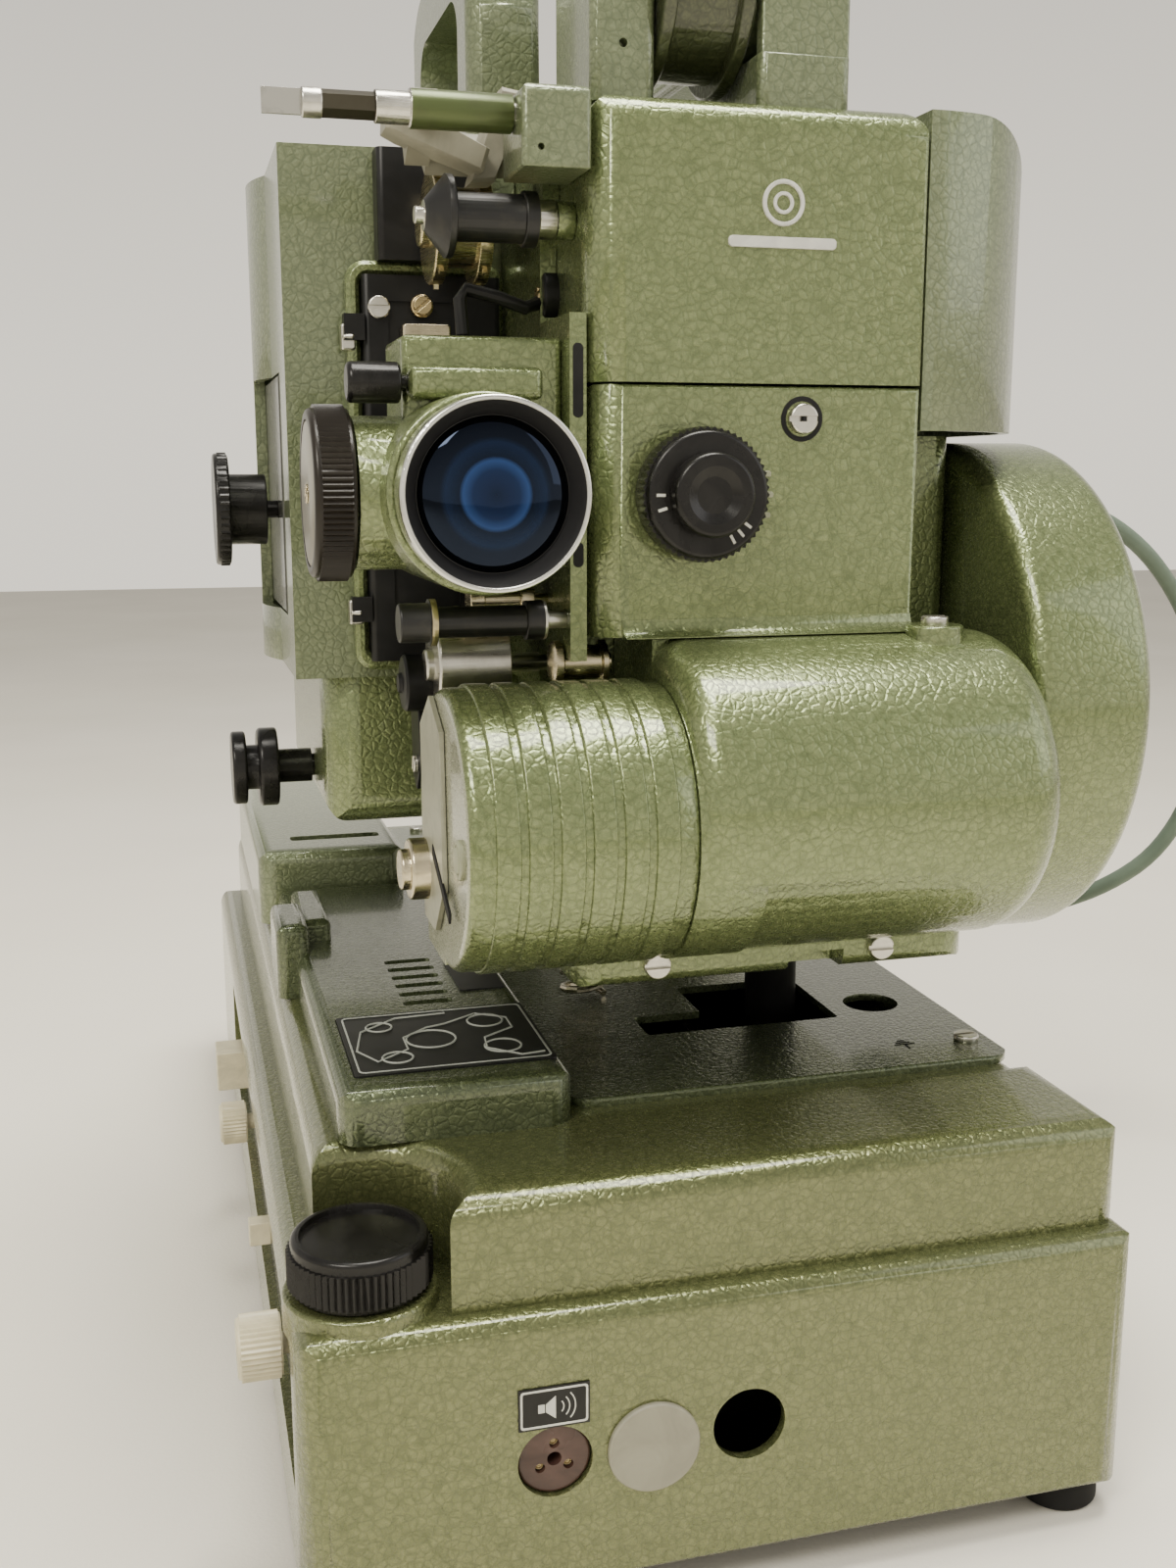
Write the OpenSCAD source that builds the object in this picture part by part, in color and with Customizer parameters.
// 16 mm sound film projector: tilting projector head on an amplifier base.
// Millimetres. X to the right seen from the front, Y to the back, Z up.
// Origin: middle of the overall width and of the base's depth, on the surface it stands on.

/* [Base] */
// width of the amplifier base
base_w = 244; // [200:1:280]
// depth of the amplifier base, front to back
base_d = 470; // [420:1:520]
// height of the rubber feet
foot_h = 12; // [6:1:20]
// top of the lower shell
lower_top = 92; // [80:1:110]
// top of the upper shell
upper_top = 124; // [110:1:140]
// top of the platform that carries the threading plate
platform_top = 140; // [130:1:150]

/* [Head] */
// underside of the head's foot plate
head_low = 160; // [150:1:175]
// top of the head's housings
head_top = 409; // [380:1:430]
// front face of the head's covers, behind the base's front
face_y = 60; // [40:1:80]
// radius of the motor barrel
barrel_r = 46; // [40:1:52]
// radius of the fan drum
drum_r = 83; // [70:1:90]

/* [Lens] */
// height of the optical axis
lens_z = 303.5; // [290:0.5:320]
// radius of the lens's front ring
lens_ring_r = 25; // [20:0.5:30]
// radius of the lens barrel where it slides
lens_slide_r = 21; // [16:0.5:22]

/* [Knobs] */
// diameter of the head tilt knob
tilt_knob_d = 39; // [30:1:45]
// diameter of the mode knob
mode_knob_d = 37; // [30:1:42]
// diameter of the focusing knob
focus_knob_d = 48; // [40:1:52]
// diameter of the ivory control knobs
ivory_d = 18; // [14:1:24]

/* [Fits] */
// running clearance between a shaft and its bore, on the radius
fit = 0.06; // [0.02:0.01:0.10]

/* [Hidden] */
$fn = 64;
base_left = -120;
base_right = base_left + base_w;
// the drum reaches further right than the knobs reach left: half the difference
overhang = 6.5;
foot_top = head_low + 11;
lens_x = -58.4;
barrel_z = 217;
drum_y = 124;
drum_z = 236;
cover_right = 73;
// the ribbed sound housing's own axis and radius, flush with the barrel in front and below
rib_y = face_y - 4;
rib_z = 211.5;
rib_r = 40.5;
hinge_y = 300;
hinge_z = 148;
jack_x = 60;
jack_y = 134;
deck_top = upper_top + 2.5;
wall_x = -26;
rear_y = 330;
handle_y = [154, 268];
gland_x = 55;
gland_z = 62;
cord_exit = [105, 230, 300];
lamp_front = 152;
cord_r = 3.5;
// the link lead's route, from the head's gland to the base's gland
cord_route = [
    [165, 230, 300], [189, 230, 299.5], [212, 230.5, 298], [233, 231.5, 294.5],
    [251, 232.5, 288], [269, 234, 276.5], [284.5, 236, 261.5], [298, 238.5, 243],
    [308, 241, 221], [313, 243, 198], [313, 245.5, 174], [307, 249, 151.5],
    [295, 254, 132.5], [278, 263, 118], [260, 277, 107], [243, 296, 98.5],
    [228, 318, 91], [215, 342, 85.5], [204, 367, 81.5], [195, 393, 78.5],
    [187, 420, 76], [179, 447, 73.5], [170, 473, 71], [158, 497, 68.5],
    [142, 518, 66], [123, 532, 64.5], [104, 538.5, 63], [85, 540, 62],
    [73.5, 537.7, 62], [63.8, 531.2, 62], [57.3, 521.5, 62], [55, 510, 62]];

// ---- helpers ----

// everything is drawn from the middle of the base's front face and moved to the origin
module front() {
    translate([-overhang, -base_d / 2, 0]) children();
}

// 2-D outline from z0 to z1, centred across, with rounded top and bottom corners
module outline(w, z0, z1, r_top, r_low) {
    translate([-w / 2, z0 + r_low]) square([w, z1 - z0 - r_top - r_low]);
    if (r_top > 0) {
        translate([-w / 2 + r_top, z1 - 2 * r_top]) square([w - 2 * r_top, 2 * r_top]);
        for (s = [-1, 1]) translate([s * (w / 2 - r_top), z1 - r_top]) circle(r = r_top);
    }
    if (r_low > 0) {
        translate([-w / 2 + r_low, z0]) square([w - 2 * r_low, 2 * r_low]);
        for (s = [-1, 1]) translate([s * (w / 2 - r_low), z0 + r_low]) circle(r = r_low);
    }
}

// box between two corners: upright edges rounded by rz, top edges by rt, bottom edges by rb
module block(lo, hi, rz = 0, rt = 0, rb = 0) {
    s = hi - lo;
    m = lo + s / 2;
    intersection() {
        translate([m[0], m[1], lo[2]])
            linear_extrude(s[2]) translate([0, -s[1] / 2]) outline(s[0], 0, s[1], rz, rz);
        if (rt + rb > 0)
            translate([m[0], hi[1] + (rz > 0 ? 1 : 0), 0]) rotate([90, 0, 0])
                linear_extrude(s[1] + (rz > 0 ? 2 : 0)) outline(s[0], lo[2], hi[2], rt, rb);
        if (rt + rb > 0)
            translate([lo[0] - 1, m[1], 0]) rotate([90, 0, 90])
                linear_extrude(s[0] + 2) outline(s[1], lo[2], hi[2], rt, rb);
    }
}

// solid turned about its own axis: radius r, length h, end edges rounded by e0 and e1
module turned(r, h, e0 = 0, e1 = 0) {
    rotate_extrude() intersection() {
        square([r + 1, h]);
        union() {
            translate([0, e0]) square([r, h - e0 - e1]);
            square([r - max(e0, e1), h]);
            if (e0 > 0) {
                square([r - e0, h / 2]);
                translate([r - e0, e0]) circle(r = e0);
            }
            if (e1 > 0) {
                translate([0, h / 2]) square([r - e1, h / 2]);
                translate([r - e1, h - e1]) circle(r = e1);
            }
        }
    }
}

// the same along X, starting at x
module along_x(x, y, z, r, h, e0 = 0, e1 = 0) {
    translate([x, y, z]) rotate([0, 90, 0]) turned(r, h, e0, e1);
}

// the same along Y, starting at y
module along_y(x, y, z, r, h, e0 = 0, e1 = 0) {
    translate([x, y, z]) rotate([-90, 0, 0]) turned(r, h, e0, e1);
}

// bores along X, Y and Z
module bore_x(x, y, z, r, h) {
    translate([x, y, z]) rotate([0, 90, 0]) cylinder(r = r, h = h);
}

module bore_y(x, y, z, r, h) {
    translate([x, y, z]) rotate([-90, 0, 0]) cylinder(r = r, h = h);
}

module bore_z(x, y, z, r, h) {
    translate([x, y, z]) cylinder(r = r, h = h);
}

// ring gear outline used for grip knurls: n teeth, d deep
module knurl(r, h, n, d) {
    linear_extrude(h) polygon([for (i = [0 : 2 * n - 1])
        let (a = i * 180 / n, q = i % 2 == 0 ? r : r - d) [q * cos(a), q * sin(a)]]);
}

// slotted screw head standing on z = 0
module screw_head(d) {
    difference() {
        turned(d / 2, d * 0.3, 0, d * 0.08);
        translate([-d, -d * 0.09, d * 0.15]) cube([2 * d, d * 0.18, d]);
    }
}

// tube swept along points: n sides
function unit(v) = v / norm(v);
function way(p, i) = unit(p[min(i + 1, len(p) - 1)] - p[max(i - 1, 0)]);
function sides(p, i, u) = i >= len(p) ? [] :
    let (t = way(p, i), v = unit(u - (u * t) * t)) concat([v], sides(p, i + 1, v));

module swept(p, r, n, up) {
    u = sides(p, 0, up);
    m = len(p);
    points = [for (i = [0 : m - 1], j = [0 : n - 1])
        p[i] + r * (cos(j * 360 / n) * u[i] + sin(j * 360 / n) * cross(way(p, i), u[i]))];
    walls = [for (i = [0 : m - 2], j = [0 : n - 1])
        let (a = i * n + j, b = i * n + (j + 1) % n) each [[a, a + n, b + n], [a, b + n, b]]];
    polyhedron(points, concat(walls, [[for (j = [0 : n - 1]) j]],
        [[for (j = [n - 1 : -1 : 0]) (m - 1) * n + j]]), convexity = 6);
}

// ---- base ----

knob_at = [-100, 24];
well_r = 27;
front_z = 50;

module base_lower_shell() color("#8c9468") front() difference() {
    union() {
        block([base_left, 0, foot_h], [base_right, base_d, lower_top], 10, 6, 2);
        translate([knob_at[0], knob_at[1], lower_top - 6]) turned(21, 10, 0, 1);
    }
    block([base_left + 3, 3, foot_h - 1], [base_right - 3, base_d - 3, lower_top - 3], 7);
    block([-84, 62, lower_top - 5], [100, base_d - 20, lower_top + 1], 5);
    bore_z(knob_at[0], knob_at[1], 60, 6 + fit, 40);
    bore_y(-52.4, -1, front_z, 10.3, 6);
    bore_y(-25, -1, front_z, 10, 6);
    bore_y(2.7, -1, 51.7, 10.5, 6);
    block([base_left - 1, 14, 44], [base_left + 4, 330, 84]);
    bore_y(gland_x, base_d - 5, gland_z, 6, 8);
}

module base_bottom_plate() color("#5d6053") front() difference() {
    block([base_left + 3.2, 3.2, foot_h], [base_right - 3.2, base_d - 3.2, foot_h + 2],
        6.8);
    for (i = [0 : 11]) translate([-30, 120 + i * 14, foot_h - 1]) cube([60, 5, 4]);
}

module rubber_feet() color("#1c1c1c") front()
    for (x = [base_left + 14, base_right - 13], y = [17, base_d - 17])
        translate([x, y, 0]) turned(12, foot_h, 2, 0);

module base_upper_shell() color("#8c9468") front() difference() {
    union() {
        block([-110, 8, lower_top], [121, 60, upper_top], 7, 8);
        block([-110, 30, lower_top], [115, base_d - 8, upper_top], 7, 8);
    }
    difference() {
        union() {
            block([-107, 11, lower_top - 1], [118, 57, upper_top - 3], 4);
            block([-107, 33, lower_top - 1], [112, base_d - 11, upper_top - 3], 4);
        }
        bore_z(knob_at[0], knob_at[1], lower_top - 2, well_r + 3, 40);
    }
    block([-30, 66, upper_top - 5], [100, base_d - 50, upper_top + 1], 6);
    translate([knob_at[0], knob_at[1], lower_top - 1]) rotate_extrude() {
        square([well_r, 60]);
        translate([0, upper_top - lower_top - 5]) difference() {
            square([well_r + 6, 20]);
            translate([well_r + 6, 0]) circle(r = 6);
        }
    }
}

module deck_plate() color("#7f8a66") front() difference() {
    block([-33.4, 58, upper_top], [114, base_d - 30, deck_top], 9, 1);
    bore_z(91, 117, upper_top - 1, 9.5, 5);
    block([30, 106, upper_top - 1], [74, 150, deck_top + 1], 1.5);
    block([6, 106, upper_top - 1], [32, 124, deck_top + 1], 1.5);
}

module deck_platform() color("#869272") front() difference() {
    union() {
        block([-102, 48, upper_top], [-34, 278, platform_top], 7, 5);
        block([-109, 182, upper_top], [-97, 216, 151], 4, 4);
        block([-99, 198, platform_top - 2], [-88, 244, 148], 2, 3);
    }
    for (i = [0 : 5]) block([-73, 118 + i * 9, platform_top - 1.5],
        [-57, 122 + i * 9, platform_top + 1], 1.2);
    block([-96.3, 59.2, platform_top - 0.6], [-36.2, 110.8, platform_top + 1], 1.5);
}

module label_plates() color("#17181a") front() {
    block([-96, 59.5, platform_top - 0.6], [-36.5, 110.5, platform_top + 0.4], 1.2);
    block([-53, 127, platform_top], [-38, 160, platform_top + 0.6], 1.2);
    block([-62.5, -0.5, 60.5], [-43, 0, 72.5]);
}

module rear_connection_box() color("#9aa091") front() difference() {
    block([-109, 280, upper_top], [-48, base_d - 18, 155], 8, 6);
    block([-105, 284, upper_top - 1], [-52, base_d - 22, 151], 4);
    block([-94, 300, 150], [-56, 308, 156], 2);
}

module side_panel() color("#3a3d36") front() difference() {
    block([base_left + 3, 12, 40], [base_left + 5, 334, 88]);
    bore_x(base_left, 34, 76, 3 + fit, 8);
    bore_x(base_left, 214, 66, 3 + fit, 8);
    block([base_left, 264.5, 58.5], [base_left + 8, 281.5, 75.5]);
    block([base_left, 120, 60], [base_left + 8, 150, 65]);
}

module speaker_socket() color("#4a2a1e") front() difference() {
    union() {
        along_y(-52.4, 1.4, front_z, 10.2, 12, 1, 0);
        along_y(-52.4, 3.05, front_z, 13, 3);
    }
    for (a = [0, 120, 240]) translate([-52.4 + 4.5 * sin(a), 0, front_z + 4.5 * cos(a)])
        rotate([-90, 0, 0]) cylinder(r = 1.4, h = 9);
    bore_y(-52.4, 0, front_z, 2, 9);
}

module blanking_cap() color("#8e8f86") front() {
    along_y(-25, -1.6, front_z, 13, 1.6, 0.7, 0);
    along_y(-25, 0, front_z, 9.9, 6);
}

module base_fasteners() color("#b8b4a6") front() {
    translate([105, 74, deck_top]) screw_head(8);
    for (x = [-20, 100]) translate([x, base_d - 40, deck_top]) screw_head(7);
    translate([-42, 292, deck_top]) turned(6, 16, 0, 2);
}

// chassis with its valves, and the mains transformer behind it
module amplifier_unit() color("#8a8378") front() {
    difference() {
        block([-10, 60, foot_h + 2], [96, 340, foot_h + 28]);
        block([-8, 62, foot_h + 1], [94, 338, foot_h + 26]);
    }
    for (x = [4, 30, 56, 82]) translate([x, 84, foot_h + 28]) turned(9.5, 46, 0, 8);
    for (y = [352, 412]) translate([-96, y, foot_h + 2]) cube([64, 24, 62]);
    translate([-92, 375, foot_h + 6]) cube([56, 38, 54]);
}

// rear hinge: two ears that carry the head's pivot pin
module hinge_bracket() color("#6d7358") front() difference() {
    union() {
        block([-24, hinge_y - 27, deck_top], [104, hinge_y + 27, deck_top + 4], 5);
        for (x = [-10, 80])
            block([x, hinge_y - 12, deck_top + 3], [x + 10, hinge_y + 12, hinge_z + 9], 0, 4);
    }
    bore_x(-12, hinge_y, hinge_z, 4 + fit, 104);
}

// spring turns: a helix from the deck to the head's foot plate
module support_spring() color("#c9c9c4") front() {
    turns = 5;
    wire = 1.2;
    low = deck_top + wire + 0.1;
    high = head_low - wire - 0.4;
    swept([for (i = [0 : 12 * turns]) let (a = i * 30)
        [-5 + 7.5 * cos(a), 148 + 7.5 * sin(a), low + (high - low) * i / (12 * turns)]],
        wire, 8, [0, 0, 1]);
}

module tilt_knob() color("#191817") front()
    translate([knob_at[0], knob_at[1], 0]) difference() {
        union() {
            translate([0, 0, 96.5]) turned(tilt_knob_d / 2 - 1.2, 14.5, 0.5, 1.5);
            translate([0, 0, 98]) knurl(tilt_knob_d / 2, 9.5, 60, 0.9);
            translate([0, 0, 66]) cylinder(r = 6, h = 31);
        }
        translate([0, 0, 109.4]) turned(tilt_knob_d / 2 - 3.5, 3);
    }

module tilt_jack() color("#242420") front() translate([jack_x, jack_y, 0]) {
    translate([0, 0, 118]) cylinder(r = 9, h = head_low - 119);
    translate([0, 0, head_low - 6]) turned(12, 5.4, 0, 1);
    translate([0, 0, 70]) cylinder(r = 5, h = 49);
}

module ivory_knob(y, z, d, h) {
    along_x(base_left - 1 - h, y, z, d / 2 - 0.8, h, 1, 0);
    translate([base_left - h, y, z]) rotate([0, 90, 0]) knurl(d / 2, h - 1.5, 36, 0.6);
    bore_x(base_left - 1.5, y, z, 3, 14);
}

module volume_knob() color("#d8d1b4") front() ivory_knob(34, 76, ivory_d, 12);

module tone_knob() color("#d8d1b4") front() ivory_knob(214, 66, 16, 10);

module input_button() color("#d8d1b4") front()
    block([base_left - 10, 265, 59], [base_left + 12, 281, 75], 0);

module selector_slider() color("#ded9c6") front() {
    block([base_left - 5, 126, 61.5 - 3], [base_left + 2.2, 132, 61.5 + 5]);
    block([base_left + 2, 126.5, 60.5], [base_left + 9, 131.5, 64.5]);
}

// ---- head: housings ----

module foot_plate() color("#8c9468") front() difference() {
    union() {
        block([-32, face_y, head_low], [98, rear_y - 2, foot_top], 12, 3, 4);
        for (x = [2, 66]) block([x, hinge_y - 9, hinge_z - 9], [x + 12, hinge_y + 9, head_low + 4]);
        bore_x(-11, hinge_y, hinge_z, 4, 103);
    }
    block([36, face_y - 2, head_low - 1], [54, face_y + 10, head_low + 6], 1);
}

module main_casting() color("#7d8663") front() difference() {
    union() {
        block([-25.5, 100, foot_top], [105, rear_y, 320.5], 6, 0, 3);
        block([-25.5, 100, 240], [cover_right, 215, 333.4]);
        block([-92, lamp_front + 4, 192], [-20, 288, 242.5], 12, 0, 10);
        block([-31, 64, 256.5], [wall_x - 0.2, 151, 352]);
        block([-31, 98, 351], [wall_x - 0.2, 151, 387]);
        block([-28, 78, 373], [wall_x - 0.2, 100, 383]);
        along_x(-31, 80, 378, 5.25, 4.8);
        block([-31, 94, 386], [wall_x - 0.2, 106, 404], 0, 4);
        block([-31, 102, 244], [-20, 151, 318]);
    }
    block([-20.5, 105, foot_top + 4], [100, rear_y - 5, 316.5], 2);
    block([-20.5, 105, 300], [cover_right - 5, 210, 329.4], 2);
    block([-88, lamp_front + 8, 196], [-24, 284, 238.5], 8);
    bore_x(-40, 80, 378, 3 + fit, 16);
    bore_x(-40, 120, 381, 3 + fit, 16);
    bore_x(-40, 70, 268, 2.5 + fit, 16);
    bore_x(-40, 104, 252, 3 + fit, 24);
    bore_x(-40, 92, 272, 2 + fit, 16);
    bore_x(-40, 100, 398, 2 + fit, 16);
    block([14, 98, 194], [92, 108, 268]);
    bore_x(-94, 200, 206, 4 + fit, 10);
    bore_x(98, drum_y, drum_z, 5 + fit, 12);
}

module front_cover_upper() color("#939a6c") front() difference() {
    union() {
        block([wall_x, face_y, 333.6], [cover_right, 215, head_top], 10, 9);
        block([wall_x + 30, face_y, 333.6], [cover_right, 215, head_top], 1.5, 9);
    }
    block([wall_x + 3, face_y + 3, 332], [cover_right - 3, 216, head_top - 3], 7, 6);
}

module front_cover_lower() color("#8f976b") front() difference() {
    union() {
        block([wall_x + 1, face_y, 263.2], [cover_right, 100, 333], 10, 1.5);
        block([wall_x + 30, face_y, 263.2], [cover_right, 100, 333], 2, 1.5);
        difference() {
            block([wall_x + 9, face_y - 5, 263.2], [cover_right - 1, face_y + 1, 268.2]);
            bore_x(wall_x, face_y - 5, 268.2, 4.7, 110);
        }
    }
    block([wall_x + 4, face_y + 3, 262], [cover_right - 3, 101, 330], 7);
    bore_y(4, face_y - 1, 303, 4 + fit, 6);
}

// cover outline in plan, inset all round: large front corner on the right, smaller rear one
module rear_plan(inset) {
    x1 = 121 - inset;
    y1 = rear_y - inset;
    r = 44 - inset;
    x0 = cover_right + 0.6 + inset;
    translate([x0, face_y + 1 + inset]) square([x1 - r - x0, 200]);
    translate([x0, face_y + 1 + inset + r]) square([x1 - x0, 200]);
    translate([wall_x + inset, 215.6 + inset]) square([x1 - wall_x - inset, y1 - 235.6 - inset]);
    translate([wall_x + inset, y1 - 40]) square([x1 - 20 - wall_x - inset, 40]);
    intersection() {
        translate([x1 - r, face_y + 1 + inset + r]) circle(r = r);
        translate([x0, face_y]) square([100, 100]);
    }
    translate([x1 - 20, y1 - 20]) circle(r = 20);
}

module rear_cover() color("#8a9478") front() difference() {
    intersection() {
        translate([0, 0, 321]) linear_extrude(head_top - 321) rear_plan(0);
        translate([47.5, rear_y + 1, 0]) rotate([90, 0, 0]) linear_extrude(rear_y)
            outline(147, 300, head_top, 30, 0);
    }
    intersection() {
        translate([0, 0, 320]) linear_extrude(head_top - 3 - 320) rear_plan(3);
        translate([47.5, rear_y + 1, 0]) rotate([90, 0, 0]) linear_extrude(rear_y)
            outline(141, 300, head_top - 3, 27, 0);
    }
}

module barrel_housing() color("#979e70") front() difference() {
    union() {
        along_x(-8, face_y, barrel_z, barrel_r, 111, 8, 13);
        along_x(-8, rib_y, rib_z, rib_r, 20);
        block([-8, face_y, barrel_z - barrel_r + 1.5], [92, 99, barrel_z + barrel_r - 0.5]);
        translate([76, 52, 254]) turned(8.4, 11.5, 0, 1);
    }
    block([-20, 99.8, 160], [110, 120, 275]);
    along_x(-4, face_y, barrel_z, barrel_r - 4, 103);
    block([-4, face_y, barrel_z - barrel_r + 6], [99, 101, barrel_z + barrel_r - 5]);
}

// stepped ribs round the front of the sound housing
module ribbed_sound_housing() color("#949b6e") front() difference() {
    union() {
        along_x(-70, rib_y, rib_z, rib_r - 0.9, 61.7, 3, 0);
        for (i = [0 : 5]) along_x(-63 + i * 8.6, rib_y, rib_z, rib_r, 6.6, 0.7, 0.7);
        block([-70, rib_y, 172.5], [-8.3, 84, 240], 0);
    }
    along_x(-66, rib_y, rib_z, rib_r - 4.5, 56);
    block([-66, rib_y, 176.5], [-10, 80, 236], 0);
    bore_x(-72, 84, 213, 5.5, 8);
}

module sound_end_plate() color("#a8ab97") front() {
    translate([-71.6, 0, 0]) rotate([90, 0, 90]) linear_extrude(1.4)
        polygon([[62, 181], [80, 181], [82, 238], [66, 248], [50, 240], [48, 196]]);
    along_x(-77, 76, 196, 9, 5.5, 1, 0);
    along_x(-79.5, 76, 196, 6, 3, 0.8, 0);
}

module drum_cover() color("#939a6c") front() difference() {
    along_x(105.6, drum_y, drum_z, drum_r, 40.4, 5, 7);
    along_x(109, drum_y, drum_z, drum_r - 4, 33.5, 0, 5);
    bore_x(100, drum_y, drum_z, 32, 12);
    for (a = [0 : 30 : 330], d = [30, 46]) translate([130, drum_y, drum_z])
        rotate([a, 0, 0]) translate([0, d, -4]) cube([20, 9, 8]);
}

module head_fasteners() color("#bdb9a8") front() {
    translate([36, face_y, 324]) rotate([90, 0, 0]) screw_head(8.5);
    translate([76, 52, 265.5]) screw_head(8);
    for (x = [-6, 66]) translate([x, face_y, 166]) rotate([90, 0, 0]) screw_head(8);
    translate([-72, lamp_front - 8, 360]) rotate([90, 0, 0]) screw_head(7);
}

// ---- head: lamp house and optics ----

module lamp_plan(inset) difference() {
    union() {
        translate([-101 + inset, lamp_front + inset])
            square([101 + wall_x - 0.4 - 2 * inset, 232 - lamp_front - inset]);
        translate([-50, 232]) circle(r = 56 - inset);
    }
    translate([wall_x - 0.4 - inset, 100]) square([80, 240]);
}

module lamp_house() color("#7c8a72") front() difference() {
    translate([0, 0, 243]) linear_extrude(head_top - 243) lamp_plan(0);
    translate([0, 0, 247]) linear_extrude(head_top - 4 - 247) lamp_plan(4);
    block([-74, lamp_front - 1, 252], [-42, lamp_front + 6, 366]);
    block([-110, 176, 262], [-96, 240, 342]);
    for (i = [0 : 6]) translate([-86 + i * 6, 196, head_top - 6]) cube([3, 60, 8]);
}

module lamp_house_door() color("#3c4037") front() difference() {
    union() {
        block([-101.4, 177, 263], [-99.2, 239, 341]);
        block([-99.3, 188, 272], [-97.3, 228, 332]);
    }
    bore_x(-103, 200, 297, 3 + fit, 8);
}

module lamp_knob() color("#171716") front() {
    along_x(-123, 200, 297, 19, 5, 1, 1);
    along_x(-118.5, 200, 297, 12, 13, 0, 0.5);
    bore_x(-106, 200, 297, 3, 13);
    translate([-121.5, 200, 297]) rotate([0, 90, 0]) knurl(19.3, 3, 48, 0.6);
}

module projection_lamp() color("#dfe6e8") front() translate([lens_x, 214, 0]) {
    translate([0, 0, 264]) turned(17, 84, 4, 14);
    translate([0, 0, 247]) cylinder(r = 13, h = 17.5);
}

module gate_frame() color("#1d1e1c") front() difference() {
    union() {
        block([-77, lamp_front - 8, 249], [-33, lamp_front - 0.3, 370], 2);
        block([-72, lamp_front - 12, 374], [-36, lamp_front - 0.3, 407], 2);
        for (z = [262, 350]) block([-83, lamp_front - 9, z], [-76.5, lamp_front - 4, z + 8]);
    }
    block([-65, lamp_front - 14, 296], [-52, lamp_front + 2, 311]);
    block([-69, lamp_front - 8.5, 256], [-47.6, lamp_front - 7, 362]);
}

module lens_carrier() color("#959c72") front() difference() {
    union() {
        along_y(lens_x, 44, lens_z, 26.5, 68, 1.5, 1);
        along_x(-90, 78, lens_z, 21, 14, 0, 0);
        block([-76, 72, 322], [-31, 104, 346], 2, 2);
        block([-75, 64, 328.5], [-38, 76, 337.5], 3, 3, 3);
        block([-38, 76, 292], [-31, 104, 340]);
    }
    bore_y(lens_x, 40, lens_z, lens_slide_r + fit, 80);
    bore_x(-92, 78, lens_z, 4 + fit, 9);
    bore_x(-76, 70, 333, 2.2 + fit, 20);
    block([-68, 84, 338], [-46, 105, 348], 3);
}

module lens_barrel() color("#b9bab2") front() difference() {
    union() {
        along_y(lens_x, 31, lens_z, lens_ring_r, 10, 0.8, 0.4);
        along_y(lens_x, 36, lens_z, lens_slide_r, 84, 0, 0);
    }
    bore_y(lens_x, 39.4, lens_z, lens_slide_r - 3, 90);
    translate([lens_x, 30.9, lens_z]) rotate([-90, 0, 0])
        cylinder(r1 = lens_ring_r - 1.2, r2 = lens_slide_r - 3, h = 8.6);
}

module lens_glass() color("#20305a") front() {
    along_y(lens_x, 46, lens_z, lens_slide_r - 3.02, 6, 2, 0);
    along_y(lens_x, 104, lens_z, lens_slide_r - 3.02, 5, 0, 1);
}

module focus_knob() color("#23231f") front() difference() {
    union() {
        along_x(-102, 78, lens_z, focus_knob_d / 2 - 1, 11.2, 1.5, 0.5);
        translate([-100, 78, lens_z]) rotate([0, 90, 0]) knurl(focus_knob_d / 2, 8, 90, 0.7);
        bore_x(-92, 78, lens_z, 4, 8);
    }
    bore_x(-103, 78, lens_z, focus_knob_d / 2 - 4, 1.4);
}

module gate_lever() color("#191918") front() {
    along_x(-91.5, 70, 333, 5.5, 14.5, 1.5, 1);
    bore_x(-78, 70, 333, 2.2, 20);
}

// ---- head: film path ----

module sprocket(x, y, z, r) {
    along_x(x, y, z, r, 4, 0.8, 0.5);
    along_x(x + 3.5, y, z, r - 5, 10);
    along_x(x + 13, y, z, r, 4, 0.5, 0.5);
    for (s = [x + 1.4, x + 14.4]) translate([s, y, z]) rotate([0, 90, 0])
        linear_extrude(1.4) for (a = [0 : 36 : 324]) rotate(a)
            translate([0, -0.8]) square([r + 1.4, 1.6]);
}

module upper_sprocket() color("#b3a274") front() {
    sprocket(-60, 120, 381, 16.4);
    bore_x(-62, 120, 381, 3, 35.4);
    along_x(-63, 120, 381, 6, 4, 1, 0);
}

module upper_roller() color("#1b1b1a") front() {
    translate([-68, 80, 378]) rotate([0, 90, 0]) cylinder(r1 = 4, r2 = 11, h = 6);
    along_x(-62.1, 80, 378, 11, 2, 0, 0.5);
    along_x(-60.5, 80, 378, 6.5, 23, 0, 0);
    along_x(-40.5, 80, 378, 7.5, 4, 0.5, 0.5);
    along_x(-37, 80, 378, 5.25, 5.6, 0, 0);
    bore_x(-33, 80, 378, 3, 6.4);
    along_x(-70.5, 80, 378, 2.4, 3, 0.5, 0);
}

module lower_roller() color("#1d1c1a") front() {
    along_x(-79, 70, 268, 5.5, 9, 0.6, 0.4);
    along_x(-70.5, 70, 268, 6.6, 2, 0, 0);
    along_x(-69, 70, 268, 4.4, 30, 0, 0);
    along_x(-43, 70, 268, 5.6, 6, 0.5, 0.5);
    bore_x(-39, 70, 268, 2.5, 12.4);
}

module sound_drum() color("#c6c6bf") front() {
    along_x(-64, 104, 252, 13.5, 22, 1, 0.5);
    bore_x(-43, 104, 252, 3, 20);
    along_x(-66.5, 104, 252, 5, 3, 1, 0);
}

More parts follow.
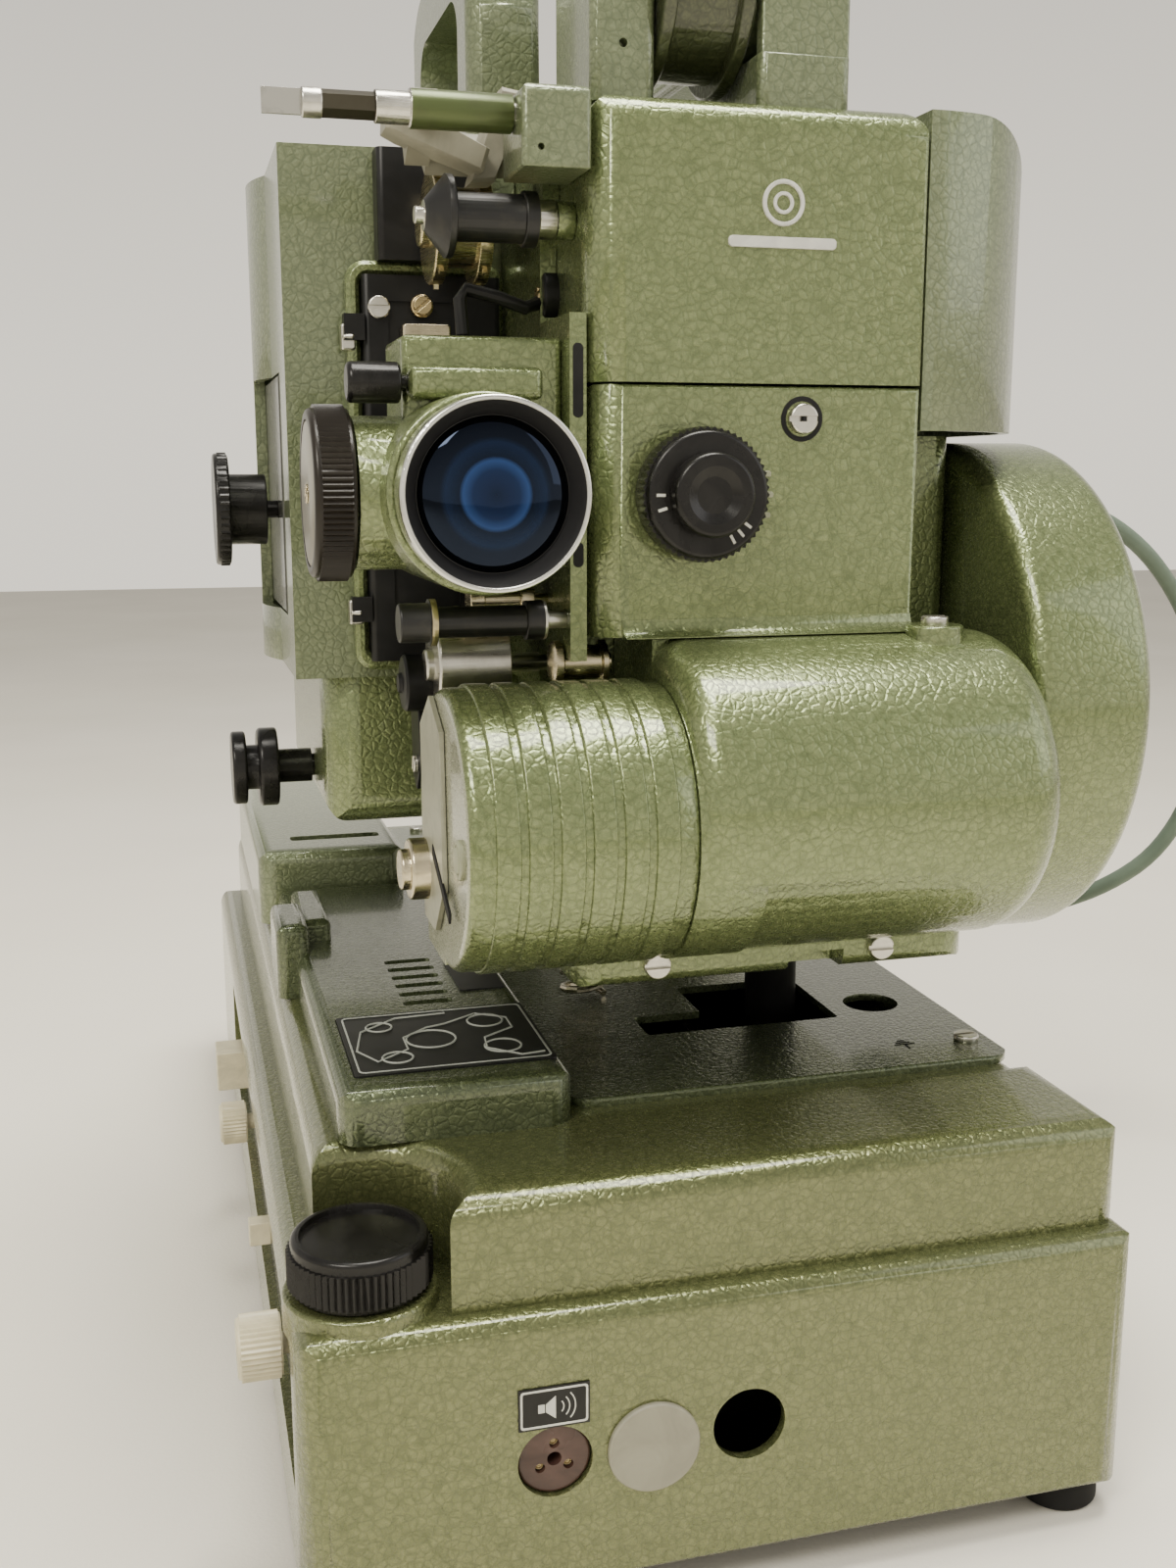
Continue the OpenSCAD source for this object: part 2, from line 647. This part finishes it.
module pressure_roller() color("#b59a5c") front() {
    for (x = [-55, -40]) along_x(x, 92, 272, 5, 4.5, 0.6, 0.6);
    along_x(-51, 92, 272, 3.6, 12);
    bore_x(-36, 92, 272, 2, 9.4);
}

// hinged shoe that holds the film on the upper sprocket
module film_shoe() color("#8b8678") front() {
    translate([-64, 0, 0]) rotate([90, 0, 90]) linear_extrude(30)
        polygon([[96, 399], [100, 392], [112, 400.6], [128, 400.6], [128, 404], [104, 404.5]]);
    translate([-70, 0, 0]) rotate([90, 0, 90]) linear_extrude(7)
        polygon([[78, 405], [98, 394], [101, 400], [82, 411]]);
    bore_x(-64, 100, 398, 3.5, 32);
    bore_x(-33, 100, 398, 2, 6.4);
}

module spindle_block() color("#8f9970") front() difference() {
    block([-45, 58, 388], [wall_x, 84, 409], 2, 3, 1);
    bore_x(-60, 70, 403, 3 + fit, 26);
    bore_y(-40, 57, 393, 0.9, 5);
}

module reel_spindle() color("#7f8a5f") front() {
    along_x(-73, 70, 403, 5, 27.5, 0.5, 0);
    along_x(-82, 70, 403, 4.2, 9.5, 0.4, 0.4);
    translate([-96, 70, 403]) rotate([0, 90, 0]) cylinder(r = 3.6, h = 14.5, $fn = 6);
    along_x(-101, 70, 403, 3.8, 5.5, 0.6, 0.6);
    bore_x(-47, 70, 403, 3, 12);
    block([-111, 69.4, 399.8], [-100.5, 70.6, 406.2]);
}

// ---- head: arm, handle and drive ----

module arm_bracket() color("#8d956a") front() difference() {
    union() {
        block([-22, 74, head_top - 2], [-3.5, 116, 462], 3, 12);
        block([24.6, 68, head_top - 2], [52, 112, 423], 3, 1);
        block([25.2, 68.6, 420], [51.4, 73.4, 460], 1, 3);
    }
    bore_x(-12, 96, 446, 4 + fit, 12);
    bore_y(-13, 73, 424, 1.2, 5);
    block([-30, 60, 300], [60, 120, head_top]);
}

module supply_arm() color("#8d956a") front() {
    along_x(24.6, 96, 446, 22, 27.4, 2, 2);
    block([28, 96, 433], [48, 296, 459], 4, 4, 4);
    along_x(-11, 96, 446, 4, 37);
    along_x(-14, 284, 446, 5, 43, 1, 0);
    along_x(-32, 284, 446, 4, 19, 1, 0);
}

module arm_wheel() color("#4d5038") front() difference() {
    union() {
        along_x(-2.8, 96, 446, 30, 4, 1, 1);
        along_x(0.8, 96, 446, 26, 19);
        along_x(19.4, 96, 446, 30, 4, 1, 1);
    }
    bore_x(-4, 96, 446, 4 + fit, 30);
}

// arch with its two posts
module carrying_handle() color("#8b9479") front() intersection() {
    translate([-40, 0, head_top]) rotate([90, 0, 90]) linear_extrude(24) difference() {
        union() {
            translate([handle_y[0], 0]) square([handle_y[1] - handle_y[0], 40]);
            translate([handle_y[0] + 30, 10]) square([handle_y[1] - handle_y[0] - 60, 60]);
            for (y = [handle_y[0] + 30, handle_y[1] - 30]) translate([y, 40]) circle(r = 30);
        }
        translate([handle_y[0] + 20, -1]) square([handle_y[1] - handle_y[0] - 40, 41]);
        translate([handle_y[0] + 33, 30]) square([handle_y[1] - handle_y[0] - 66, 23]);
        for (y = [handle_y[0] + 33, handle_y[1] - 33]) translate([y, 40]) circle(r = 13);
    }
    block([-40, handle_y[0] - 1, head_top - 1], [-16, handle_y[1] + 1, head_top + 71], 8);
}

module mode_knob() color("#171716") front() difference() {
    union() {
        along_y(4, face_y - 13, 303, mode_knob_d / 2 - 1, 12.6, 1.5, 0.5);
        translate([4, face_y - 11, 303]) rotate([-90, 0, 0]) knurl(mode_knob_d / 2, 6, 56, 0.8);
        along_y(4, face_y - 19, 303, 11.5, 7, 1.5, 0);
        bore_y(4, face_y - 1, 303, 4, 12);
    }
    translate([4, face_y - 19.1, 303]) rotate([-90, 0, 0]) cylinder(r1 = 8, r2 = 5, h = 1.6);
}

module motor_stator() color("#5c6058") front() difference() {
    along_x(20, drum_y, drum_z, 32, 60, 3, 3);
    bore_x(10, drum_y, drum_z, 13, 90);
}

module motor_rotor() color("#a9aaa2") front() {
    along_x(22, drum_y, drum_z, 12, 50, 1, 1);
    bore_x(14, drum_y, drum_z, 5, 122);
    along_x(112, drum_y, drum_z, 16, 22);
    for (a = [0 : 30 : 330]) translate([113, drum_y, drum_z]) rotate([a, 0, 0])
        translate([0, 14, -1]) cube([20, 58, 2]);
    along_x(112, drum_y, drum_z, 73, 1.6);
}

module inching_knob() color("#171716") front() {
    along_x(-121, 200, 206, 13, 5, 1, 1);
    along_x(-116.5, 200, 206, 8, 5);
    along_x(-112, 200, 206, 14, 7, 1.5, 1);
    along_x(-105.5, 200, 206, 6, 12.5);
    bore_x(-94, 200, 206, 4, 12);
}

// ---- lead ----

// tapered strain reliefs at the two ends of the link lead
module relief(length) {
    cylinder(r1 = 8, r2 = 4.6, h = length);
    cylinder(r = 9.5, h = 4);
}

module head_gland() color("#242422") front() translate(cord_exit) rotate([0, 90, 0])
    relief(cord_route[0][0] - cord_exit[0] - 0.4);

module base_gland() color("#242422") front() translate([gland_x, base_d, gland_z])
    rotate([-90, 0, 0]) relief(40);

module link_cord() color("#6f7a70") front()
    swept(cord_route, cord_r, 10, [0, 0, 1]);

base_lower_shell();
base_bottom_plate();
rubber_feet();
base_upper_shell();
deck_plate();
deck_platform();
label_plates();
rear_connection_box();
side_panel();
speaker_socket();
blanking_cap();
base_fasteners();
amplifier_unit();
hinge_bracket();
support_spring();
tilt_knob();
tilt_jack();
volume_knob();
tone_knob();
input_button();
selector_slider();
foot_plate();
main_casting();
front_cover_upper();
front_cover_lower();
rear_cover();
barrel_housing();
ribbed_sound_housing();
sound_end_plate();
drum_cover();
head_fasteners();
lamp_house();
lamp_house_door();
lamp_knob();
projection_lamp();
gate_frame();
lens_carrier();
lens_barrel();
lens_glass();
focus_knob();
gate_lever();
upper_sprocket();
upper_roller();
lower_roller();
sound_drum();
pressure_roller();
film_shoe();
spindle_block();
reel_spindle();
arm_bracket();
supply_arm();
arm_wheel();
carrying_handle();
mode_knob();
motor_stator();
motor_rotor();
inching_knob();
head_gland();
base_gland();
link_cord();
